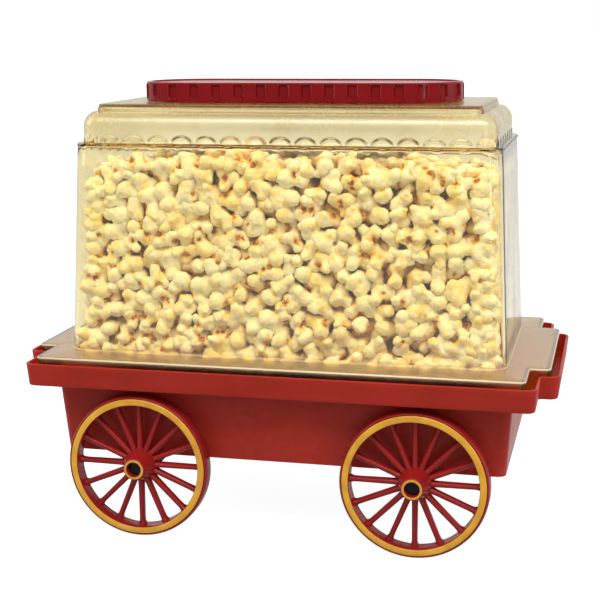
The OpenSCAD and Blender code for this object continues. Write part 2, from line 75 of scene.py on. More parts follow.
DOME = (166 * MM, 82 * MM)
RIDGE = (159.2 * MM, 75 * MM)
RIDGE_TOP, RIDGE_H, RIDGE_OUT = 293.3 * MM, 2.4 * MM, 0.4 * MM
DOME_R = 14 * MM
SHOULDER = (155.2 * MM, 71 * MM)
SHOULDER_TOP, SHOULDER_R, SHOULDER_CORNER = 317 * MM, 12 * MM, 13 * MM
FOOT_R = 2.5 * MM
ROUND_R = 1.6 * MM
BEAD_OUT, BEAD_W, BEAD_H = 0.9 * MM, 2.2 * MM, 1.5 * MM
LEDGE = (144 * MM, 64 * MM)
LEDGE_TOP, LEDGE_CORNER = CAP_LOW.z, 9 * MM
COLLAR = (120.6 * MM, 38.9 * MM)
COLLAR_T, COLLAR_H = 2.2 * MM, 10.5 * MM
SCALLOP_PITCH = 19.05 * MM
SCALLOP_W, SCALLOP_H, SCALLOP_OUT = 8.8 * MM, 7.2 * MM, 0.7 * MM

CAP = (CAP_HIGH.x, CAP_HIGH.y)
CAP_TOP, CAP_BASE = CAP_HIGH.z, CAP_LOW.z
POCKETS, POCKET_W, POCKET_H, POCKET_DEEP = 34, 6.2 * MM, 10.7 * MM, 1.3 * MM
POCKET_RIM, POCKET_BELOW_TOP, FIRST_POCKET = 0.6 * MM, 1.8 * MM, 12.5 * MM
POINTS_PER_POCKET = 40

WHEELS = ("wheel_front_left", "wheel_front_right", "wheel_rear_left", "wheel_rear_right")
WHEEL_BODIES = {w: "wheel_" + w[6] + w[w.rindex("_") + 1] for w in WHEELS}
SPOKES = 16

BOX_COUNTS = (250, 98, 16)
CART_INNER_R, CART_STEPS = 1.5 * MM, 8


# ---------------------------------------------------------------- mesh helpers
class Shell:
    """A closed mesh built from rings of points; bridged rings have the same number of points."""

    def __init__(self):
        self.points, self.faces, self.slots = [], [], []

    def ring(self, points):
        first = len(self.points)
        self.points.extend(tuple(p) for p in points)
        return list(range(first, first + len(points)))

    def face(self, corners, slot=0):
        self.faces.append(tuple(corners))
        self.slots.append(slot)

    def bridge(self, lower, upper, slot=0):
        n = len(lower)
        for i in range(n):
            j = (i + 1) % n
            self.face((lower[i], lower[j], upper[j], upper[i]), slot)

    def loft(self, rings, slot=0):
        """Joins lists of points in turn, and returns the first and the last ring's indices."""
        made = [self.ring(points) for points in rings]
        for lower, upper in zip(made, made[1:]):
            self.bridge(lower, upper, slot)
        return made[0], made[-1]

    def annulus(self, outer, inner, slot=0):
        """Fills the level space between an outer and an inner ring."""
        loops = (outer, inner)
        flat = [Vector(self.points[i][:2]) for loop in loops for i in loop]
        back = [i for loop in loops for i in loop]
        edges, start = [], 0
        for loop in loops:
            n = len(loop)
            edges.extend((start + i, start + (i + 1) % n) for i in range(n))
            start += n
        verts, _, faces, source, _, _ = geometry.delaunay_2d_cdt(flat, edges, [], 1, 1e-8)
        named = [back[s[0]] if s else None for s in source]
        hole = np.array([p[:] for p in flat[len(outer):]])
        after = np.roll(hole, -1, axis=0)
        for corners in faces:
            x, y = sum((verts[i] for i in corners), Vector((0, 0))) / len(corners)
            spans = (hole[:, 1] > y) != (after[:, 1] > y)
            rise = np.where(spans, after[:, 1] - hole[:, 1], 1)
            meets = hole[:, 0] + (y - hole[:, 1]) * (after[:, 0] - hole[:, 0]) / rise
            if np.sum(spans & (x < meets)) % 2 == 0:
                self.face([named[i] for i in corners], slot)

    def build(self, name, materials, body, **details):
        return make_piece(name, self.points, self.faces, materials, body, slots=self.slots, **details)


def make_piece(name, points, faces, materials, body, slots=None, replaces=(), slot=None, sharp=32,
               clean=True):
    """Makes an object that rides on a body; clean merges its points and turns its faces outwards."""
    mesh = bpy.data.meshes.new(name)
    mesh.from_pydata(points, [], faces)
    for material in materials:
        mesh.materials.append(material)
    if slots and len(materials) > 1:
        mesh.polygons.foreach_set("material_index", slots)
    if clean:
        work = bmesh.new()
        work.from_mesh(mesh)
        bmesh.ops.remove_doubles(work, verts=work.verts, dist=1e-7)
        bmesh.ops.recalc_face_normals(work, faces=work.faces)
        work.to_mesh(mesh)
        work.free()
    mesh.shade_smooth()
    mesh.set_sharp_from_angle(angle=math.radians(sharp))
    piece = bpy.data.objects.new(name, mesh)
    bpy.context.scene.collection.objects.link(piece)
    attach(piece, body)
    if replaces:
        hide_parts(*replaces)
    return piece


def arc(steps, start, end):
    """Cosine and sine at even steps between two angles in degrees, both included."""
    return [(math.cos(a), math.sin(a)) for a in np.radians(np.linspace(start, end, steps + 1))]


def smooth_step(low, high, value):
    """0 at low and 1 at high, with a level start and end."""
    t = np.clip((value - low) / (high - low), 0, 1)
    return t * t * (3 - 2 * t)


# ---------------------------------------------------------------- outlines
def box_ring(size, r, z, inset=0.0):
    """Rounded rectangle, anticlockwise from the end of its right side's straight."""
    x, y = size[0] - inset, size[1] - inset
    along, across, turn = BOX_COUNTS
    points = []
    for corner, (sx, sy) in enumerate(((1, 1), (-1, 1), (-1, -1), (1, -1))):
        mx, my = sx * (x - r), sy * (y - r)
        for c, s in arc(turn, corner * 90, corner * 90 + 90):
            points.append((mx + r * c, my + r * s))
        steps = along if corner % 2 == 0 else across
        start = points[-1]
        end = (-sx * (x - r), start[1]) if corner % 2 == 0 else (start[0], -sy * (y - r))
        for i in range(1, steps):
            t = i / steps
            points.append((start[0] + (end[0] - start[0]) * t, start[1] + (end[1] - start[1]) * t))
    return [(px, py, z) for px, py in points]


def box_facing():
    """The way outwards at each of box_ring's points."""
    along, across, turn = BOX_COUNTS
    ways = []
    for corner in range(4):
        ways.extend(arc(turn, corner * 90, corner * 90 + 90))
        last = ways[-1]
        ways.extend([last] * ((along if corner % 2 == 0 else across) - 1))
    return np.array(ways)


def cart_ring(end, side, r, z, inset=0.0):
    """The cross-shaped plan of the tray and the cover's plate, anticlockwise from its right end."""
    ex, ey, x, y = end[0] - inset, end[1] - inset, side[0] - inset, side[1] - inset
    r_out, r_in = max(r - inset, 0.3 * MM), CART_INNER_R + inset
    quarter_turn = [(ex, ey, r_out), (x, ey, -r_in), (x, y, r_out)]
    points = []
    for turn in range(4):
        sx, sy = ((1, 1), (-1, 1), (-1, -1), (1, -1))[turn]
        corners = quarter_turn if turn % 2 == 0 else quarter_turn[::-1]
        for cx, cy, size in corners:
            if size > 0:
                mx, my, a0, a1 = cx - size, cy - size, 0, 90
            else:
                size = -size
                mx, my, a0, a1 = cx + size, cy + size, 270, 180
            if turn % 2:
                a0, a1 = a1, a0
            for c, s in arc(CART_STEPS, a0, a1):
                points.append((sx * (mx + size * c), sy * (my + size * s), z))
    return points


def stadium_ring(size, z, inset=0.0, count=240):
    """A long outline with half-round ends and even points, anticlockwise from the front's middle."""
    r = size[1] - inset
    run = size[0] - size[1]
    total = 4 * run + math.tau * r
    points = []
    for i in range(count):
        d = (i + 0.5) / count * total
        if d < run:
            points.append((d, -r, z))
        elif d < run + math.pi * r:
            a = (d - run) / r - math.pi / 2
            points.append((run + r * math.cos(a), r * math.sin(a), z))
        elif d < 3 * run + math.pi * r:
            points.append((run - (d - run - math.pi * r), r, z))
        elif d < 3 * run + math.tau * r:
            a = (d - 3 * run - math.pi * r) / r + math.pi / 2
            points.append((-run + r * math.cos(a), r * math.sin(a), z))
        else:
            points.append((-run + (d - 3 * run - math.tau * r), -r, z))
    return points


def circle_ring(r, z, count=96):
    """A level circle round the frame's upright axis."""
    turns = [math.tau * i / count for i in range(count)]
    return [(r * math.cos(a), r * math.sin(a), z) for a in turns]


# ---------------------------------------------------------------- materials
class Look:
    """A material's node tree, with short ways to add the nodes that most looks share."""

    def __init__(self, name):
        self.material = bpy.data.materials.new(name)
        self.material.use_nodes = True
        self.nodes = self.material.node_tree.nodes
        self.links = self.material.node_tree.links
        self.shader = self.nodes["Principled BSDF"]
        self.output = self.nodes["Material Output"]
        self.place = self.add("ShaderNodeTexCoord").outputs["Object"]

    def add(self, kind, inputs=None, **settings):
        node = self.nodes.new(kind)
        for key, value in settings.items():
            setattr(node, key, value)
        for key, value in (inputs or {}).items():
            if isinstance(value, bpy.types.NodeSocket):
                self.links.new(value, node.inputs[key])
            else:
                node.inputs[key].default_value = value
        return node

    def noise(self, scale, detail=3.0, rough=0.5, place=None, distortion=0.0):
        inputs = {"Vector": place or self.place, "Scale": scale, "Detail": detail, "Roughness": rough,
                  "Distortion": distortion}
        return self.add("ShaderNodeTexNoise", inputs).outputs["Fac"]

    def stretched(self, scale):
        return self.add("ShaderNodeMapping", {"Vector": self.place, "Scale": scale}).outputs["Vector"]

    def span(self, value, low, high, to_low, to_high):
        inputs = {"Value": value, "From Min": low, "From Max": high, "To Min": to_low, "To Max": to_high}
        return self.add("ShaderNodeMapRange", inputs).outputs["Result"]

    def mix(self, factor, first, second):
        node = self.add("ShaderNodeMix", data_type="RGBA")
        for socket, value in ((node.inputs[0], factor), (node.inputs[6], first), (node.inputs[7], second)):
            if isinstance(value, bpy.types.NodeSocket):
                self.links.new(value, socket)
            else:
                socket.default_value = value
        return node.outputs[2]

    def math(self, operation, first, second=0.0):
        node = self.add("ShaderNodeMath", operation=operation)
        for socket, value in zip(node.inputs, (first, second)):
            if isinstance(value, bpy.types.NodeSocket):
                self.links.new(value, socket)
            else:
                socket.default_value = value
        return node.outputs["Value"]

    def bump(self, height, distance, strength=1.0, normal=None):
        inputs = {"Height": height, "Distance": distance, "Strength": strength}
        if normal:
            inputs["Normal"] = normal
        return self.add("ShaderNodeBump", inputs).outputs["Normal"]

    def set(self, **inputs):
        for key, value in inputs.items():
            name = key.replace("_", " ")
            socket = next(s for s in self.shader.inputs if s.name.lower() == name.lower())
            if isinstance(value, bpy.types.NodeSocket):
                self.links.new(value, socket)
            else:
                socket.default_value = value


def colour(r, g, b):
    return (r, g, b, 1.0)


def moulded_plastic(name, base, rough=0.3, grain=0.02, gloss=0.3):
    """Moulded plastic: slow changes of tone and gloss, flow marks, a fine skin, and scuffed edges."""
    shade = 0.12
    look = Look(name)
    clouds = look.noise(18.0, 4.0, 0.6)
    flow = look.noise(1.0, 3.0, 0.5, look.stretched((14.0, 30.0, 120.0)))
    tone = look.math("ADD", look.math("MULTIPLY", clouds, 0.6), look.math("MULTIPLY", flow, 0.4))
    dark = colour(*(c * (1 - shade) for c in base))
    light = colour(*(min(c * (1 + shade), 1) for c in base))
    body = look.mix(look.span(tone, 0.35, 0.65, 0.0, 1.0), dark, light)
    worn = look.add("ShaderNodeNewGeometry").outputs["Pointiness"]
    edge = look.math("MULTIPLY", look.span(worn, 0.53, 0.62, 0.0, 0.35), look.noise(160.0, 2.0))
    pale = colour(*(min(c * 1.5 + 0.03, 1) for c in base))
    look.set(Base_Color=look.mix(edge, body, pale))
    marks = look.noise(55.0, 5.0, 0.65)
    look.set(Roughness=look.span(marks, 0.3, 0.7, rough * 0.8, rough * 1.3))
    skin = look.noise(2600.0, 2.0, 0.6)
    waves = look.noise(45.0, 1.0, 0.4)
    look.set(Normal=look.bump(waves, 0.0006, 0.5, look.bump(skin, grain * MM, 0.6)))
    look.shader.inputs["Specular IOR Level"].default_value = gloss
    return look.material


def gold_paint(name):
    """Brushed-on gold enamel: thicker and thinner strokes, and a slightly uneven skin."""
    light, dark, worn = colour(0.78, 0.42, 0.025), colour(0.60, 0.27, 0.010), colour(0.40, 0.17, 0.012)
    look = Look(name)
    strokes = look.noise(1.0, 4.0, 0.6, look.stretched((90.0, 700.0, 90.0)), 0.4)
    patches = look.noise(38.0, 3.0, 0.5)
    base = look.mix(look.span(strokes, 0.3, 0.7, 0.0, 1.0), dark, light)
    base = look.mix(look.span(patches, 0.3, 0.75, 0.0, 0.45), base, worn)
    look.set(Base_Color=base, Roughness=look.span(patches, 0.3, 0.7, 0.28, 0.46), Metallic=0.15)
    look.set(Normal=look.bump(strokes, 0.00005, 0.5))
    return look.material


def metal(name, base, rough, brush, fine=0.4):
    """Metal with a rolled or turned grain, dull patches and small scratches."""
    look = Look(name)
    grain = look.noise(1.0, 3.0, 0.6, look.stretched(brush))
    patches = look.noise(60.0, 4.0, 0.6)
    dark = colour(*(c * 0.78 for c in base))
    look.set(Base_Color=look.mix(look.span(patches, 0.3, 0.7, 0.0, 1.0), colour(*base), dark))
    look.set(Roughness=look.span(grain, 0.25, 0.75, rough * 0.7, rough * 1.35), Metallic=1.0)
    look.set(Normal=look.bump(grain, 0.00003, fine))
    return look.material


def soft_skin(name, base, rough, speck, scale, depth=0.00006, sheen=0.0):
    """Rubber, ceramic, sleeving and coatings: a speckled colour with a fine, even skin."""
    look = Look(name)
    specks = look.noise(scale, 4.0, 0.7)
    slow = look.noise(24.0, 3.0, 0.5)
    base_light = colour(*(min(c * (1 + speck), 1) for c in base))
    base_dark = colour(*(c * (1 - speck) for c in base))
    tone = look.mix(look.span(specks, 0.35, 0.65, 0.0, 1.0), base_dark, base_light)
    base_worn = colour(*(c * 0.7 for c in base))
    look.set(Base_Color=look.mix(look.span(slow, 0.3, 0.7, 0.0, 0.3), tone, base_worn))
    look.set(Roughness=look.span(slow, 0.3, 0.7, rough * 0.85, min(rough * 1.2, 1.0)))
    look.set(Normal=look.bump(specks, depth, 0.6))
    if sheen:
        look.shader.inputs["Sheen Weight"].default_value = sheen
    return look.material


def amber(name):
    """Clear amber plastic: tinted through its thickness, faintly wavy, oilier and hazier up high."""
    look = Look(name)
    plate_edge, ridge_line = 135.3 * MM, 292.3 * MM
    waves = look.noise(16.0, 2.0, 0.45)
    film = look.noise(34.0, 6.0, 0.7, look.stretched((1.0, 1.0, 0.6)), 0.8)
    across, depth, height = look.add("ShaderNodeSeparateXYZ", {"Vector": look.place}).outputs
    up_high = look.span(height, 0.275, 0.315, 0.0, 1.0)
    drops = look.span(film, 0.42, 0.75, 0.0, 1.0)
    oil = look.math("MULTIPLY", drops, look.span(up_high, 0.0, 1.0, 0.35, 1.0))
    steam = look.span(height, 0.294, 0.303, 0.0, 0.22)
    haze = look.math("ADD", look.span(oil, 0.0, 1.0, 0.012, 0.12), steam)
    at_plate = look.span(height, 0.137, 0.1395, 1.0, 0.0)
    haze = look.math("ADD", haze, look.math("MULTIPLY", at_plate, 0.2))
    look.set(Roughness=haze)
    # Painted highlight: a thin bright cream line, less clear, along the plate's rounded front edge
    from_edge = look.math("ABSOLUTE", look.math("SUBTRACT", height, plate_edge))
    painted_edge_highlight = look.span(from_edge, 0.0005, 0.0007, 0.45, 0.0)
    tint = look.mix(oil, colour(0.99, 0.98, 0.94), colour(0.95, 0.90, 0.78))
    # Painted shade: the ridge's bar between the beads is tinted a dark gold-brown
    from_ridge = look.math("ABSOLUTE", look.math("SUBTRACT", height, ridge_line))
    near_ridge = look.span(from_ridge, 0.0007, 0.0012, 1.0, 0.0)
    ends, sides = (look.math("SUBTRACT", look.math("ABSOLUTE", way), reach)
                   for way, reach in zip((across, depth), RIDGE))
    between_beads = look.span(look.math("MAXIMUM", ends, sides), 0.0006, 0.0010, 1.0, 0.0)
    tint = look.mix(look.math("MULTIPLY", near_ridge, between_beads), tint, colour(0.62, 0.41, 0.13))
    tint = look.mix(at_plate, tint, colour(0.93, 0.80, 0.52))
    # Painted shade: the skirt under the plate is tinted dark olive, as if in shadow
    at_skirt = look.span(height, 0.1337, 0.1341, 1.0, 0.0)
    tint = look.mix(at_skirt, tint, colour(0.60, 0.48, 0.20))
    look.set(Base_Color=look.mix(look.math("MULTIPLY", painted_edge_highlight, 2.0), tint, colour(1.0, 0.92, 0.66)))
    look.set(Normal=look.bump(waves, 0.0006, 0.35, look.bump(film, 0.00008, 0.5)))
    cloudy = look.math("MULTIPLY", look.math("SUBTRACT", at_plate, at_skirt), 0.13)
    look.set(Transmission_Weight=look.math("SUBTRACT", 1.0, look.math("MAXIMUM", cloudy, painted_edge_highlight)))
    look.shader.inputs["IOR"].default_value = 1.49
    look.shader.inputs["Specular IOR Level"].default_value = 0.35
    volume = look.add("ShaderNodeVolumeAbsorption", {"Color": colour(0.96, 0.81, 0.12), "Density": 120.0})
    look.links.new(volume.outputs["Volume"], look.output.inputs["Volume"])
    path = look.add("ShaderNodeLightPath")
    unseen = look.math("MAXIMUM", path.outputs["Is Shadow Ray"], path.outputs["Is Diffuse Ray"])
    clear = look.add("ShaderNodeBsdfTransparent", {"Color": colour(0.98, 0.97, 0.92)})
    both = look.add("ShaderNodeMixShader", {"Fac": unseen})
    look.links.new(look.shader.outputs["BSDF"], both.inputs[1])
    look.links.new(clear.outputs["BSDF"], both.inputs[2])
    look.links.new(both.outputs["Shader"], look.output.inputs["Surface"])
    return look.material


def popcorn_look(name):
    """Popped corn: creamy lobes, buttery patches, painted shade in the folds between them and deep in the
    heap, and toasted hull in the splits.
    """
    look = Look(name)
    marks = look.add("ShaderNodeAttribute", attribute_name="flake")
    parts = look.add("ShaderNodeSeparateColor", {"Color": marks.outputs["Color"]})
    crease, hull, tone = parts.outputs["Red"], parts.outputs["Green"], parts.outputs["Blue"]
    mottle = look.noise(330.0, 4.0, 0.6)
    patches = look.noise(120.0, 3.0, 0.5, distortion=0.6)
    white, yellow = colour(0.98, 0.94, 0.84), colour(0.95, 0.83, 0.56)
    cream = look.mix(look.span(tone, 0.45, 1.0, 0.0, 1.0), white, yellow)
    butter = look.mix(look.span(patches, 0.5, 0.66, 0.0, 0.85), cream, colour(0.92, 0.70, 0.24))
    # Painted shade: the crease mark darkens the folds, and the flakes deep in the heap, to orange-brown
    fold_shade = look.mix(look.span(crease, 0.2, 0.9, 0.0, 0.9), butter, colour(0.54, 0.28, 0.055))
    burnt, brown = colour(0.20, 0.045, 0.012), colour(0.66, 0.24, 0.04)
    toast = look.mix(look.span(mottle, 0.4, 0.62, 0.0, 1.0), burnt, brown)
    tan = look.mix(look.span(hull, 0.04, 0.3, 0.0, 1.0), fold_shade, colour(0.86, 0.56, 0.16))
    look.set(Base_Color=look.mix(look.span(hull, 0.3, 0.5, 0.0, 1.0), tan, toast))
    look.set(Roughness=look.span(hull, 0.3, 0.8, 0.62, 0.3))
    fine = look.noise(900.0, 4.0, 0.7)
    coarse = look.noise(260.0, 3.0, 0.5)
    look.set(Normal=look.bump(coarse, 0.0009, 0.7, look.bump(fine, 0.00012, 0.5)))
    look.shader.inputs["Subsurface Weight"].default_value = 0.18
    look.shader.inputs["Subsurface Radius"].default_value = (1.0, 0.6, 0.3)
    look.shader.inputs["Subsurface Scale"].default_value = 0.002
    return look.material


def pale_floor(name):
    """A floor that the camera sees as white, and that still shows in reflections."""
    look = Look(name)
    look.set(Base_Color=look.mix(look.noise(3.0, 2.0), colour(0.37, 0.37, 0.37), colour(0.40, 0.40, 0.40)))
    look.set(Roughness=0.9, Emission_Color=colour(1.0, 1.0, 1.0))
    path = look.add("ShaderNodeLightPath")
    mirrored = look.span(path.outputs["Is Diffuse Ray"], 0.0, 1.0, 0.45, 0.0)
    seen = look.math("MULTIPLY", path.outputs["Is Camera Ray"], 0.9)
    look.set(Emission_Strength=look.math("MAXIMUM", mirrored, seen))
    return look.material


RED = (0.320, 0.019, 0.010)
DEEP_RED = (0.190, 0.0040, 0.006)
MATERIALS = {
    "red_plastic": moulded_plastic("red_plastic", RED, rough=0.34, gloss=0.12),
    "deep_red_plastic": moulded_plastic("deep_red_plastic", DEEP_RED, rough=0.15, gloss=0.12),
    "wheel_red": moulded_plastic("wheel_red", (0.250, 0.010, 0.009), rough=0.28, gloss=0.2),
    "amber_clear": amber("amber_clear"),
    "dark_plastic": moulded_plastic("dark_plastic", (0.035, 0.031, 0.028), rough=0.5, grain=0.05),
    "black_plastic": moulded_plastic("black_plastic", (0.004, 0.004, 0.004), rough=0.35, gloss=0.1),
    "steel": metal("steel", (0.60, 0.59, 0.57), 0.28, (160.0, 160.0, 900.0)),
    "nonstick": soft_skin("nonstick", (0.045, 0.045, 0.048), 0.38, 0.25, 1400.0, 0.00003),
    "aluminium": metal("aluminium", (0.74, 0.74, 0.75), 0.36, (60.0, 1200.0, 60.0)),
    "silicone": soft_skin("silicone", (0.32, 0.045, 0.03), 0.55, 0.12, 900.0, sheen=0.2),
    "ceramic": soft_skin("ceramic", (0.76, 0.72, 0.62), 0.6, 0.10, 1800.0),
    "nylon": soft_skin("nylon", (0.74, 0.71, 0.62), 0.42, 0.08, 700.0),
    "bronze": metal("bronze", (0.55, 0.36, 0.15), 0.42, (500.0, 500.0, 500.0)),
    "copper_coil": metal("copper_coil", (0.72, 0.30, 0.13), 0.3, (40.0, 40.0, 2600.0), 0.8),
    "wire_sleeve": soft_skin("wire_sleeve", (0.62, 0.58, 0.50), 0.65, 0.18, 1600.0, 0.00012),
}
GOLD = gold_paint("gold_paint")
POPCORN = popcorn_look("popcorn")

for part in frame["record"]["subparts"]:
    for material_slot in frame["nodes"][part["node"]].material_slots:
        material_slot.material = MATERIALS[part["material_slot"]]


# ---------------------------------------------------------------- the clear cover
def scallop_distance():
    """How far along the outline each of box_ring's points is from the nearest scallop's middle."""
    ring = np.array(box_ring(RIDGE, DOME_R, 0))[:, :2]
    steps = np.linalg.norm(np.roll(ring, -1, axis=0) - ring, axis=1)
    along = np.concatenate(([0], np.cumsum(steps)))
    length, at = along[-1], along[:-1]
    half_x, half_y, turn = RIDGE[0] - DOME_R, RIDGE[1] - DOME_R, DOME_R * math.pi / 2
    back = turn + half_x
    left = back + half_x + turn + half_y
    middles = []
    for centre, reach in ((back, 8), (back + length / 2, 8), (left, 3), (left + length / 2, 3)):
        middles.extend(centre + k * SCALLOP_PITCH for k in range(-reach, reach + 1))
    gap = np.abs((at[:, None] - np.array(middles)[None, :] + length / 2) % length - length / 2)
    return gap.min(axis=1)


def scallop(u, z):
    """How far the scalloped edging stands out from the shoulder's wall: low half-round arches."""
    e = np.sqrt((u / SCALLOP_W) ** 2 + ((z - RIDGE_TOP + RIDGE_H / 2) / SCALLOP_H) ** 2)
    return SCALLOP_OUT * smooth_step(1.0, 0.82, e)


def ridge_bar(u, z):
    """The ridge's bar, with a round bead in front of each scallop."""
    middle = RIDGE_TOP - RIDGE_H / 2
    bar = RIDGE_OUT * smooth_step(RIDGE_H / 2 + 0.25 * MM, RIDGE_H / 2 - 0.15 * MM, abs(z - middle))
    bead = np.exp(-((u / BEAD_W) ** 2 + ((z - middle) / BEAD_H) ** 2))
    return bar + BEAD_OUT * bead


def dome_size(z):
    """Half the dome's length and width on its sloping wall, at height z."""
    t = (z - FLANGE_TOP) / (RIDGE_TOP - FLANGE_TOP)
    return tuple(low + (high - low) * t for low, high in zip(DOME, RIDGE))


def make_cover():
    facing, u = box_facing(), scallop_distance()

    def row(size, r, z, out=None, inset=0.0):
        ring = np.array(box_ring(size, r, z, inset))
        if out is not None:
            ring[:, :2] += facing * np.reshape(out, (-1, 1))
        return ring.tolist()

    outer = []
    lip, step = 1.0 * MM, 0.8 * MM
    for c, s in arc(4, 90, 0):
        inset = lip * (1 - c)
        outer.append(row(LEDGE, LEDGE_CORNER - inset, LEDGE_TOP - lip * (1 - s), inset=inset))
    outer.append(row(LEDGE, LEDGE_CORNER, LEDGE_TOP - 2.5 * MM))
    outer.append(row(LEDGE, LEDGE_CORNER + step * 0.7, LEDGE_TOP - 2.7 * MM, inset=-step * 0.7))
    outer.append(row(LEDGE, LEDGE_CORNER + step, LEDGE_TOP - 3.0 * MM, inset=-step))
    outer.append(row(LEDGE, LEDGE_CORNER + step, SHOULDER_TOP - 0.9 * MM, inset=-step))
    for c, s in arc(9, 64, 0):
        inset = SHOULDER_R * (1 - c)
        z = SHOULDER_TOP - SHOULDER_R * (1 - s)
        outer.append(row(SHOULDER, SHOULDER_CORNER - 0.6 * inset, z, inset=inset))
    for z in np.arange(SHOULDER_TOP - SHOULDER_R - 3 * MM, RIDGE_TOP - 0.1 * MM, -0.45 * MM):
        outer.append(row(SHOULDER, SHOULDER_CORNER, z, scallop(u, z)))
    outer.append(row(SHOULDER, SHOULDER_CORNER, RIDGE_TOP, scallop(u, RIDGE_TOP)))
    for c, s in arc(5, 90, 0):
        z = RIDGE_TOP - ROUND_R * (1 - s)
        inset = ROUND_R * (1 - c)
        outer.append(row(RIDGE, DOME_R - inset, z, ridge_bar(u, z) * c, inset=inset))
    for z in np.arange(RIDGE_TOP - ROUND_R - 0.3 * MM, RIDGE_TOP - 5.6 * MM, -0.35 * MM):
        outer.append(row(dome_size(z), DOME_R, z, ridge_bar(u, z)))
    for z in np.linspace(RIDGE_TOP - 12 * MM, FLANGE_TOP + FOOT_R, 10):
        outer.append(row(dome_size(z), DOME_R, z))
    for c, s in arc(6, 0, 90)[1:]:
        spread = FOOT_R * (1 - c)
        z = FLANGE_TOP + FOOT_R * (1 - s)
        outer.append(row(dome_size(FLANGE_TOP + FOOT_R), DOME_R + spread, z, inset=-spread))

    plate, lip = [], 2.0 * MM
    under = FLANGE_TOP - FLANGE_T
    for c, s in arc(5, 90, 0):
        z = FLANGE_TOP - lip * (1 - s)
        plate.append(cart_ring(FLANGE_END, FLANGE_SIDE, FLANGE_CORNER, z, lip * (1 - c)))
    skirt_low = TRAY_BASE + WALL + 0.3 * MM
    for z, inset in ((under + 0.3 * MM, 0), (under, 0.3 * MM), (under, SKIRT_STEP), (skirt_low, SKIRT_STEP),
                     (skirt_low, SKIRT_STEP + WALL), (under, SKIRT_STEP + WALL)):
        plate.append(cart_ring(FLANGE_END, FLANGE_SIDE, FLANGE_CORNER, z, inset))

    inner = []
    for c, s in arc(4, 90, 0):
        spread = FOOT_R * (1 - c)
        z = under + FOOT_R * (1 - s)
        inner.append(row(dome_size(under), DOME_R - WALL + spread, z, inset=WALL - spread))
    for z in np.linspace(under + 8 * MM, RIDGE_TOP - WALL - 1 * MM, 9):
        inner.append(row(dome_size(z), DOME_R - WALL, z, inset=WALL))
    inner.append(row(RIDGE, DOME_R - WALL, RIDGE_TOP - WALL, inset=WALL + 0.4 * MM))
    inner.append(row(SHOULDER, SHOULDER_CORNER - WALL, RIDGE_TOP - WALL, inset=WALL - 0.4 * MM))
    inner.append(row(SHOULDER, SHOULDER_CORNER - WALL, RIDGE_TOP - WALL + 0.5 * MM, inset=WALL))
    for c, s in arc(8, 0, 72):
        inset = (SHOULDER_R - WALL) * (1 - c)
        z = SHOULDER_TOP - SHOULDER_R + (SHOULDER_R - WALL) * s
        inner.append(row(SHOULDER, SHOULDER_CORNER - WALL - 0.6 * inset, z, inset=WALL + inset))
    lift = 1.2 * MM
    for z, inset in ((SHOULDER_TOP - WALL, 0), (LEDGE_TOP - WALL - lift, 0), (LEDGE_TOP - WALL, lift)):
        inner.append(row(LEDGE, LEDGE_CORNER - WALL - inset, z, inset=WALL + inset))

    collar, lip = [], 0.7 * MM
    top = LEDGE_TOP + COLLAR_H
    collar.append(stadium_ring(COLLAR, LEDGE_TOP - WALL, COLLAR_T))
    for c, s in arc(3, 0, 90):
        collar.append(stadium_ring(COLLAR, top - lip * (1 - s), COLLAR_T - lip * (1 - c)))
    for c, s in arc(3, 90, 0):
        collar.append(stadium_ring(COLLAR, top - lip * (1 - s), lip * (1 - c)))
    collar.append(stadium_ring(COLLAR, LEDGE_TOP))

    shell = Shell()
    ledge_edge, foot = shell.loft(outer)
    plate_edge, plate_inside = shell.loft(plate)
    inner_foot, inner_top = shell.loft(inner)
    mouth, collar_foot = shell.loft(collar)
    shell.annulus(plate_edge, foot)
    shell.annulus(plate_inside, inner_foot)
    shell.annulus(inner_top, mouth)
    shell.annulus(ledge_edge, collar_foot)
    shell.build("clear_cover", [MATERIALS["amber_clear"]], "cover", replaces=["cover"], slot="amber_clear",
                sharp=40)


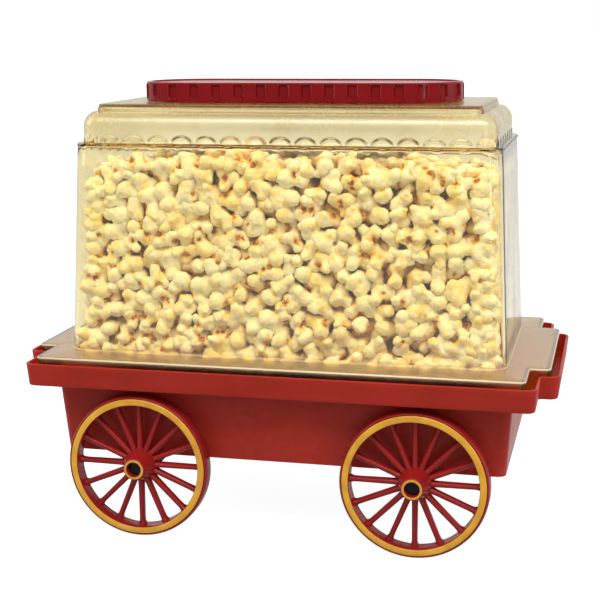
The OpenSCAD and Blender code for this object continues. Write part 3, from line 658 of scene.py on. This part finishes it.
# ---------------------------------------------------------------- the red cap
def make_cap():
    count = POCKETS * POINTS_PER_POCKET
    run = CAP[0] - CAP[1]
    length = 4 * run + math.tau * CAP[1]
    at = (np.arange(count) + 0.5) / count * length
    pitch = length / POCKETS
    u = np.abs((at - FIRST_POCKET + pitch / 2) % pitch - pitch / 2)
    pocket_top, half = CAP_TOP - POCKET_BELOW_TOP, POCKET_W / 2
    round_z = pocket_top - POCKET_H + half

    def depth(z):
        """How deep the U-shaped pockets are, straight at the top and round below, with a raised rim."""
        below = np.sqrt(u ** 2 + np.minimum(z - round_z, 0) ** 2)
        inside = smooth_step(half + 0.25 * MM, half - 0.25 * MM, below)
        raised = POCKET_RIM * np.exp(-(((below - half - 0.7 * MM) / (0.45 * MM)) ** 2))
        edge = smooth_step(pocket_top + 0.2 * MM, pocket_top - 0.2 * MM, z)
        return (POCKET_DEEP * inside - raised * (below > half)) * edge

    def row(z, inset=0.0, pockets=False):
        ring = np.array(stadium_ring(CAP, z, inset, count))
        if pockets:
            middle = np.clip(ring[:, 0], -run, run)
            way = ring[:, :2] - np.stack([middle, np.zeros(count)], axis=1)
            way /= np.linalg.norm(way, axis=1)[:, None]
            ring[:, :2] -= way * depth(z)[:, None]
        return ring.tolist()

    foot, lip, rim, sunk = 0.6 * MM, 1.0 * MM, 3.2 * MM, 1.0 * MM
    rings = [row(CAP_BASE + 3 * MM, WALL), row(CAP_BASE + 0.1 * MM, WALL), row(CAP_BASE + 0.1 * MM, foot),
             row(CAP_BASE + foot, 0.0)]
    heights = np.concatenate((np.arange(CAP_BASE + 1.2 * MM, pocket_top - 0.3 * MM, 0.4 * MM),
                              np.linspace(pocket_top - 0.25 * MM, pocket_top + 0.35 * MM, 5)))
    rings.extend(row(z, 0.0, True) for z in heights)
    for c, s in arc(5, 0, 90):
        rings.append(row(CAP_TOP - lip * (1 - s), lip * (1 - c)))
    rings.append(row(CAP_TOP, rim - 0.4 * MM))
    rings.append(row(CAP_TOP - 0.3 * MM, rim))
    rings.append(row(CAP_TOP - sunk, rim + 0.4 * MM))
    shell = Shell()
    under, top = shell.loft(rings)
    shell.face(top)
    roof = shell.ring(row(CAP_TOP - 3.4 * MM, WALL))
    shell.bridge(roof, under)
    shell.face(roof)
    shell.build("cap_shell", [MATERIALS["deep_red_plastic"]], "cap", replaces=["cap"],
                slot="deep_red_plastic")


# ---------------------------------------------------------------- tray
def make_tray():
    def row(z, inset=0.0):
        return cart_ring(TRAY_END, TRAY_SIDE, TRAY_CORNER, z, inset)

    lip, bottom = WALL * 0.42, 1.2 * MM
    rings = []
    for c, s in arc(4, -90, 0):
        rings.append(row(TRAY_BASE + bottom * (1 + s), TRAY_DRAFT + bottom * (1 - c)))
    for t in (0.25, 0.5, 0.75):
        z = TRAY_BASE + bottom + t * (TRAY_RIM - lip - TRAY_BASE - bottom)
        rings.append(row(z, TRAY_DRAFT * (1 - t)))
    for c, s in arc(5, 0, 90):
        rings.append(row(TRAY_RIM - lip * (1 - s), lip * (1 - c)))
    for c, s in arc(5, 90, 0):
        rings.append(row(TRAY_RIM - lip * (1 - s), WALL - lip * (1 - c)))
    floor_z = TRAY_BASE + WALL
    for c, s in arc(3, 0, 90):
        rings.append(row(floor_z + bottom * (1 - s), WALL + TRAY_DRAFT * 0.9 + bottom * (1 - c)))
    shell = Shell()
    underneath, floor_edge = shell.loft(rings)
    bevel = 0.5 * MM
    hole = [circle_ring(PAN_HOLE_R + bevel, floor_z), circle_ring(PAN_HOLE_R, floor_z - bevel),
            circle_ring(PAN_HOLE_R, TRAY_BASE)]
    hole_high, hole_low = shell.loft(hole)
    shell.annulus(floor_edge, hole_high)
    shell.annulus(underneath, hole_low)
    shell.build("tray_moulding", [MATERIALS["red_plastic"]], "root", replaces=["tray"], slot="red_plastic")


# ---------------------------------------------------------------- wheels
RIM_PROFILE = [  # radius and distance from the cart's middle, in mm, and 1 where the paint is
    (47.9, 93.9, 0), (53.4, 93.9, 0), (54.1, 94.2, 0), (54.5, 95.0, 0), (54.5, 103.2, 0),
    (54.3, 104.7, 0), (53.8, 105.8, 0), (53.2, 106.2, 0), (52.8, 106.0, 0), (52.6, 105.7, 0),
    (52.45, 106.2, 1), (52.2, 106.6, 1), (51.6, 106.9, 1), (48.4, 106.9, 1), (47.8, 106.7, 1),
    (47.5, 106.3, 0), (47.4, 105.6, 0), (47.4, 94.6, 0)]
HUB_PROFILE = [
    (3.2, 88.5, 0), (11.2, 88.5, 0), (12.0, 89.2, 0), (12.3, 90.5, 0), (12.3, 98.6, 0),
    (12.1, 99.8, 0), (11.2, 104.0, 0), (10.4, 106.2, 0), (9.5, 108.6, 0), (9.0, 110.2, 0),
    (8.3, 112.3, 0), (7.9, 112.9, 0), (7.45, 113.15, 1), (7.0, 113.3, 1), (5.9, 113.3, 1),
    (5.5, 113.1, 0), (5.4, 112.6, 0), (5.4, 104.0, 0), (3.2, 104.0, 0)]

SPOKE_HALF, SPOKE_MIDDLE = 2.2 * MM, 97.6 * MM
SPOKE_WIDTHS = (  # radius in mm, and width against the spoke's own section
    (10.5, 1.12), (14.0, 1.08), (17.0, 1.0), (42.0, 0.92), (45.2, 0.98), (46.6, 1.2), (48.2, 1.6))


def make_wheel(node):
    """One wheel: a lathed rim and hub, painted where their profiles say, and its spokes."""
    low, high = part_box(node)
    centre_x, centre_z = (low.x + high.x) / 2, (low.z + high.z) / 2
    side = 1 if low.y > 0 else -1
    shell = Shell()

    def place(r, angle, out):
        return (centre_x + r * math.cos(angle), side * out, centre_z + r * math.sin(angle))

    def lathe(profile, count):
        rings = [shell.ring([place(r * MM, math.tau * i / count, out * MM) for i in range(count)])
                 for r, out, _ in profile]
        for k, (_, _, painted) in enumerate(profile):
            following = profile[(k + 1) % len(profile)]
            shell.bridge(rings[k], rings[(k + 1) % len(profile)], 1 if painted and following[2] else 0)

    lathe(RIM_PROFILE, 160)
    lathe(HUB_PROFILE, 64)
    section = [(SPOKE_HALF * c, 97.2 * MM + 2.9 * MM * s) for c, s in arc(10, 0, 180)]
    section += [(-SPOKE_HALF, 95.6 * MM), (-1.7 * MM, 95.1 * MM),
                (1.7 * MM, 95.1 * MM), (SPOKE_HALF, 95.6 * MM)]
    for k in range(SPOKES):
        angle = math.tau * k / SPOKES
        rings = []
        for r, wide in SPOKE_WIDTHS:
            ring = []
            for across, out in section:
                x = r * MM * math.cos(angle) - across * wide * math.sin(angle)
                z = r * MM * math.sin(angle) + across * wide * math.cos(angle)
                y = side * (SPOKE_MIDDLE + (out - SPOKE_MIDDLE) * min(wide, 1.3))
                ring.append((centre_x + x, y, centre_z + z))
            rings.append(ring)
        first, last = shell.loft(rings)
        shell.face(first)
        shell.face(last)
    shell.build(node + "_spoked", [MATERIALS["wheel_red"], GOLD], WHEEL_BODIES[node], replaces=[node],
                slot="wheel_red", sharp=38)


# ---------------------------------------------------------------- popcorn
FLAKE_GAP, FLAKE_REACH, FLAKE_EDGE = 19.0 * MM, 12.9, 9.4 * MM
HEAP_LOW, HEAP_HIGH, HEAP_MIDDLE = 125 * MM, 290 * MM, 289 * MM
END_GAP = 5 * MM
KINDS, RELAX_STEPS, SEED = 14, 70, 7
NEAR_DEPTH, DEEP_DEPTH, PRESSED_DEPTH = 19 * MM, 38 * MM, 14 * MM
FRONT_Y = 40 * MM
# Mesh size in mm, by where in the cover the flake lies
VOXELS = {"front": 1.5, "middle": 1.8, "back": 1.8, "core": 3.0}


def heap_top(x, y):
    """The height of the popcorn's surface inside the cover."""
    bumps = noise.noise(Vector((x * 26, y * 26, 0.7))) * 11 * MM
    return HEAP_MIDDLE + bumps - 15 * MM * abs(x / DOME[0]) ** 3 - 6 * MM * (y / DOME[1]) ** 2


def flake_shapes(kind, voxel):
    """One flake's vertices, triangles and marks: lobes grown round a split hull, remeshed into one skin."""
    rng = np.random.default_rng(SEED * 100 + kind)
    balls = [(np.zeros(3), 5.4)]
    lobes = rng.integers(4, 7)
    for k in range(lobes):
        height = 1 - 2 * (k + 0.5) / lobes
        turn = k * 2.4 + rng.uniform(-0.5, 0.5)
        flat = math.sqrt(1 - height * height)
        way = np.array([flat * math.cos(turn), flat * math.sin(turn), height]) + rng.normal(0, 0.22, 3)
        way /= np.linalg.norm(way)
        size = rng.uniform(3.4, 6.4)
        centre = way * (11.6 - size) * rng.uniform(0.75, 1.05)
        balls.append((centre, size))
        for _ in range(rng.integers(0, 3)):
            off = way + rng.normal(0, 0.9, 3)
            off /= np.linalg.norm(off)
            balls.append((centre + off * size * rng.uniform(0.6, 0.9), size * rng.uniform(0.35, 0.6)))
    work = bmesh.new()
    for centre, size in balls:
        squeeze = Matrix.Diagonal((*rng.uniform(0.85, 1.15, 3), 1.0))
        where = Matrix.Translation(centre) @ squeeze
        bmesh.ops.create_icosphere(work, subdivisions=2, radius=size, matrix=where)
    mesh = bpy.data.meshes.new("flake")
    work.to_mesh(mesh)
    work.free()
    flake = bpy.data.objects.new("flake", mesh)
    bpy.context.scene.collection.objects.link(flake)
    remesh = flake.modifiers.new("skin", "REMESH")
    remesh.mode, remesh.voxel_size = "VOXEL", voxel
    smooth = flake.modifiers.new("soften", "SMOOTH")
    smooth.factor, smooth.iterations = 0.5, 2
    flake.modifiers.new("split", "TRIANGULATE")
    skin = flake.evaluated_get(bpy.context.evaluated_depsgraph_get()).to_mesh()
    points = np.array([v.co for v in skin.vertices])
    normals = np.array([v.normal for v in skin.vertices])
    tris = np.array([p.vertices for p in skin.polygons])
    pairs = np.array([e.vertices for e in skin.edges])
    bpy.data.objects.remove(flake)

    def spread(values):
        total, count = np.zeros_like(values), np.zeros(len(points))
        for a, b in ((0, 1), (1, 0)):
            np.add.at(total, pairs[:, a], values[pairs[:, b]])
            np.add.at(count, pairs[:, a], 1)
        return total / (count.reshape((-1,) + (1,) * (values.ndim - 1)))

    hollow = np.sum((spread(points) - points) * normals, axis=1) / voxel
    crease = np.clip(hollow * 5.0, 0, 1)
    for _ in range(2):
        crease = 0.5 * crease + 0.5 * spread(crease)
    shift = Vector((kind * 9, 0, 0))
    bumps = np.array([noise.fractal(Vector(p * 0.5) + shift, 0.9, 2.1, 3) for p in points])
    points = points + normals * (bumps * 0.8)[:, None] - normals * (crease * 0.5)[:, None]
    hull = np.zeros(len(points))
    for _ in range(rng.integers(1, 4)):
        folds = points[np.argsort(crease)[-60:]]
        heart = folds[rng.integers(len(folds))]
        reach = rng.uniform(2.4, 5.4)
        near = 1 - np.linalg.norm((points - heart) * rng.uniform(0.7, 1.4, 3), axis=1) / reach
        hull = np.maximum(hull, np.clip(near * (0.5 + 1.6 * crease) + bumps * 0.45, 0, 1) * (near > 0))
    points -= normals * (np.clip(hull * 2, 0, 1) * 0.7)[:, None]
    points *= FLAKE_REACH / np.percentile(np.linalg.norm(points, axis=1), 96)
    return points * MM, tris, np.stack([np.clip(crease * 1.6, 0, 1), hull], axis=1)


def flake_places():
    """Where the flakes' middles are: a random fill of the cover, relaxed until they keep their distance."""
    rng = np.random.default_rng(SEED)

    def hold(p):
        """Keeps the flakes' middles inside the cover and below the heap's surface."""
        p[:, 2] = np.maximum(p[:, 2], HEAP_LOW + FLAKE_EDGE)
        top = np.array([heap_top(x, y) for x, y in p[:, :2]]) - FLAKE_EDGE
        p[:, 2] = np.minimum(p[:, 2], top)
        for axis in (0, 1):
            t = (p[:, 2] - FLANGE_TOP) / (RIDGE_TOP - FLANGE_TOP)
            gap = END_GAP if axis == 0 else 0
            half = DOME[axis] + (RIDGE[axis] - DOME[axis]) * t - WALL - FLAKE_EDGE - gap
            p[:, axis] = np.clip(p[:, axis], -half, half)
        return p

    low = np.array([-DOME[0], -DOME[1], HEAP_LOW])
    high = np.array([DOME[0], DOME[1], HEAP_HIGH])
    count = int(1.1 * np.prod(high - low) / (0.72 * FLAKE_GAP ** 3))
    places = hold(rng.uniform(low, high, (count, 3)))
    for _ in range(RELAX_STEPS):
        push = np.zeros_like(places)
        order = np.argsort(places[:, 0])
        sorted_places = places[order]
        for shift in range(1, 260):
            apart = sorted_places[shift:] - sorted_places[:-shift]
            near = np.nonzero(apart[:, 0] < FLAKE_GAP)[0]
            if len(near) == 0:
                break
            gap = np.linalg.norm(apart[near], axis=1)
            close = gap < FLAKE_GAP
            near, gap = near[close], np.maximum(gap[close], 1e-6)
            move = apart[near] * ((FLAKE_GAP - gap) / gap * 0.5)[:, None]
            np.add.at(push, order[near + shift], move)
            np.add.at(push, order[near], -move)
        places = hold(places + push * 0.6)
    return places


def make_popcorn():
    """Fills the cover with turned and scaled flakes, finest where they are nearest to the front."""
    shapes = {part: [flake_shapes(kind, voxel) for kind in range(KINDS)] for part, voxel in VOXELS.items()}
    rng = np.random.default_rng(SEED + 1)
    groups = {}
    for place in flake_places():
        turn = np.array(Euler(rng.uniform(0, math.tau, 3)).to_matrix())
        kind, scale, tone, slack = rng.integers(KINDS), rng.uniform(0.86, 1.14), rng.random(), rng.random()
        size = dome_size(place[2])
        depths = [size[0] - abs(place[0]), size[1] - abs(place[1]), heap_top(*place[:2]) - place[2]]
        if min(depths) > DEEP_DEPTH and place[2] > HEAP_LOW + 18 * MM:
            continue
        near = min(depths) < NEAR_DEPTH
        part = "front" if place[1] < -FRONT_Y else "back" if place[1] > FRONT_Y else "middle"
        part = part if near else "core"
        points, tris, marks = shapes[part][kind]
        points = (points * scale) @ turn.T + place
        half = np.array([dome_size(z) for z in points[:, 2]]) - WALL - 0.5 * MM
        for axis in (0, 1):
            side = 1 if place[axis] > 0 else -1
            over = np.max(side * points[:, axis] - half[:, axis])
            if over > 0 or axis == 1 and depths[axis] < PRESSED_DEPTH:
                points[:, axis] -= side * (over + slack * 1.5 * MM)
        points[:, 2] += max(0, HEAP_LOW - points[:, 2].min())
        key = (part, int((place[0] + DOME[0]) / (2 * DOME[0] / 3)) if near else 0)
        groups.setdefault(key, []).append((points, tris, marks, tone))
    for number, key in enumerate(sorted(groups), 1):
        base, points, faces, marks = 0, [], [], []
        for p, t, m, tone in groups[key]:
            points.append(p)
            faces.append(t + base)
            walls = np.array([dome_size(z) for z in p[:, 2]]) - WALL
            below_top = heap_top(*p.mean(axis=0)[:2]) - p[:, 2] + 8 * MM
            inwards = np.minimum((walls - np.abs(p[:, :2])).min(axis=1), below_top)
            # Painted shade: flakes 6 to 14 mm or more inside the heap get the fold colour through the
            # crease mark
            crease = np.maximum(m[:, 0], 0.95 * smooth_step(6 * MM, 14 * MM, inwards))
            marks.append(np.column_stack([crease, m[:, 1], np.full(len(p), tone), np.ones(len(p))]))
            base += len(p)
        piece = make_piece(f"popcorn_{key[0]}_{number:02d}", np.concatenate(points).tolist(),
                           np.concatenate(faces).tolist(), [POPCORN], "cover", sharp=180, clean=False)
        flakes = piece.data.color_attributes.new("flake", "FLOAT_COLOR", "POINT")
        flakes.data.foreach_set("color", np.concatenate(marks).astype(np.float32).ravel())


# ---------------------------------------------------------------- floor, light and camera
def make_stage():
    shell = Shell()
    shell.face(shell.ring(circle_ring(60.0, -0.2 * MM, 96)))
    mesh = bpy.data.meshes.new("floor")
    mesh.from_pydata(shell.points, [], shell.faces)
    mesh.materials.append(pale_floor("pale_floor"))
    floor = bpy.data.objects.new("floor", mesh)
    bpy.context.scene.collection.objects.link(floor)


def softbox(name, place, aim, size, power):
    data = bpy.data.lights.new(name, "AREA")
    data.shape, data.size, data.size_y, data.energy = "RECTANGLE", size[0], size[1], power
    light = bpy.data.objects.new(name, data)
    light.location = place
    light.rotation_euler = (Vector(aim) - Vector(place)).to_track_quat("-Z", "Y").to_euler()
    bpy.context.scene.collection.objects.link(light)


CAMERA_PLACE = (0.2412, -1.0096, 0.3771)
CAMERA_TURN = (13.61, 78.46, -0.47)  # yaw, tilt and roll in degrees
CAMERA_LENS = 80.39


def make_light():
    softbox("key", (0.35, -1.05, 1.75), (0.0, 0.0, 0.2), (2.4, 0.6), 30)
    softbox("edge", (1.05, -1.0, 0.4), (0.05, 0.0, 0.33), (0.05, 0.5), 1.3)
    softbox("right", (1.5, 0.25, 0.7), (0.1, 0.0, 0.2), (0.8, 1.0), 2.5)
    softbox("left", (-1.4, -0.4, 0.9), (-0.1, 0.0, 0.2), (0.6, 0.9), 5)
    world = bpy.data.worlds.new("studio")
    world.use_nodes = True
    nodes, links = world.node_tree.nodes, world.node_tree.links
    way = nodes.new("ShaderNodeTexCoord").outputs["Generated"]
    lean = nodes.new("ShaderNodeVectorMath")
    lean.operation = "DOT_PRODUCT"
    lean.inputs[1].default_value = (0.0, 0.5, 0.86)
    links.new(way, lean.inputs[0])
    glow = nodes.new("ShaderNodeMapRange")
    glow.interpolation_type = "SMOOTHSTEP"
    for name, value in (("From Min", -0.9), ("From Max", 0.5), ("To Min", 0.12), ("To Max", 0.90)):
        glow.inputs[name].default_value = value
    links.new(lean.outputs["Value"], glow.inputs["Value"])
    seen = nodes.new("ShaderNodeLightPath").outputs["Is Camera Ray"]
    strength = nodes.new("ShaderNodeMath")
    strength.operation = "MAXIMUM"
    links.new(seen, strength.inputs[0])
    links.new(glow.outputs["Result"], strength.inputs[1])
    nodes["Background"].inputs["Color"].default_value = colour(1.0, 1.0, 1.0)
    links.new(strength.outputs["Value"], nodes["Background"].inputs["Strength"])
    bpy.context.scene.world = world


def make_camera():
    data = bpy.data.cameras.new("camera")
    data.sensor_width, data.lens = 36.0, CAMERA_LENS
    camera = bpy.data.objects.new("camera", data)
    yaw, tilt, roll = (math.radians(a) for a in CAMERA_TURN)
    turn = Matrix.Rotation(yaw, 4, "Z") @ Matrix.Rotation(tilt, 4, "X") @ Matrix.Rotation(roll, 4, "Z")
    camera.matrix_world = Matrix.Translation(CAMERA_PLACE) @ turn
    bpy.context.scene.collection.objects.link(camera)
    bpy.context.scene.camera = camera


make_camera()
make_light()
make_stage()
make_cover()
make_cap()
make_tray()
for wheel in WHEELS:
    make_wheel(wheel)
make_popcorn()
bpy.context.scene.view_settings.view_transform = "Standard"
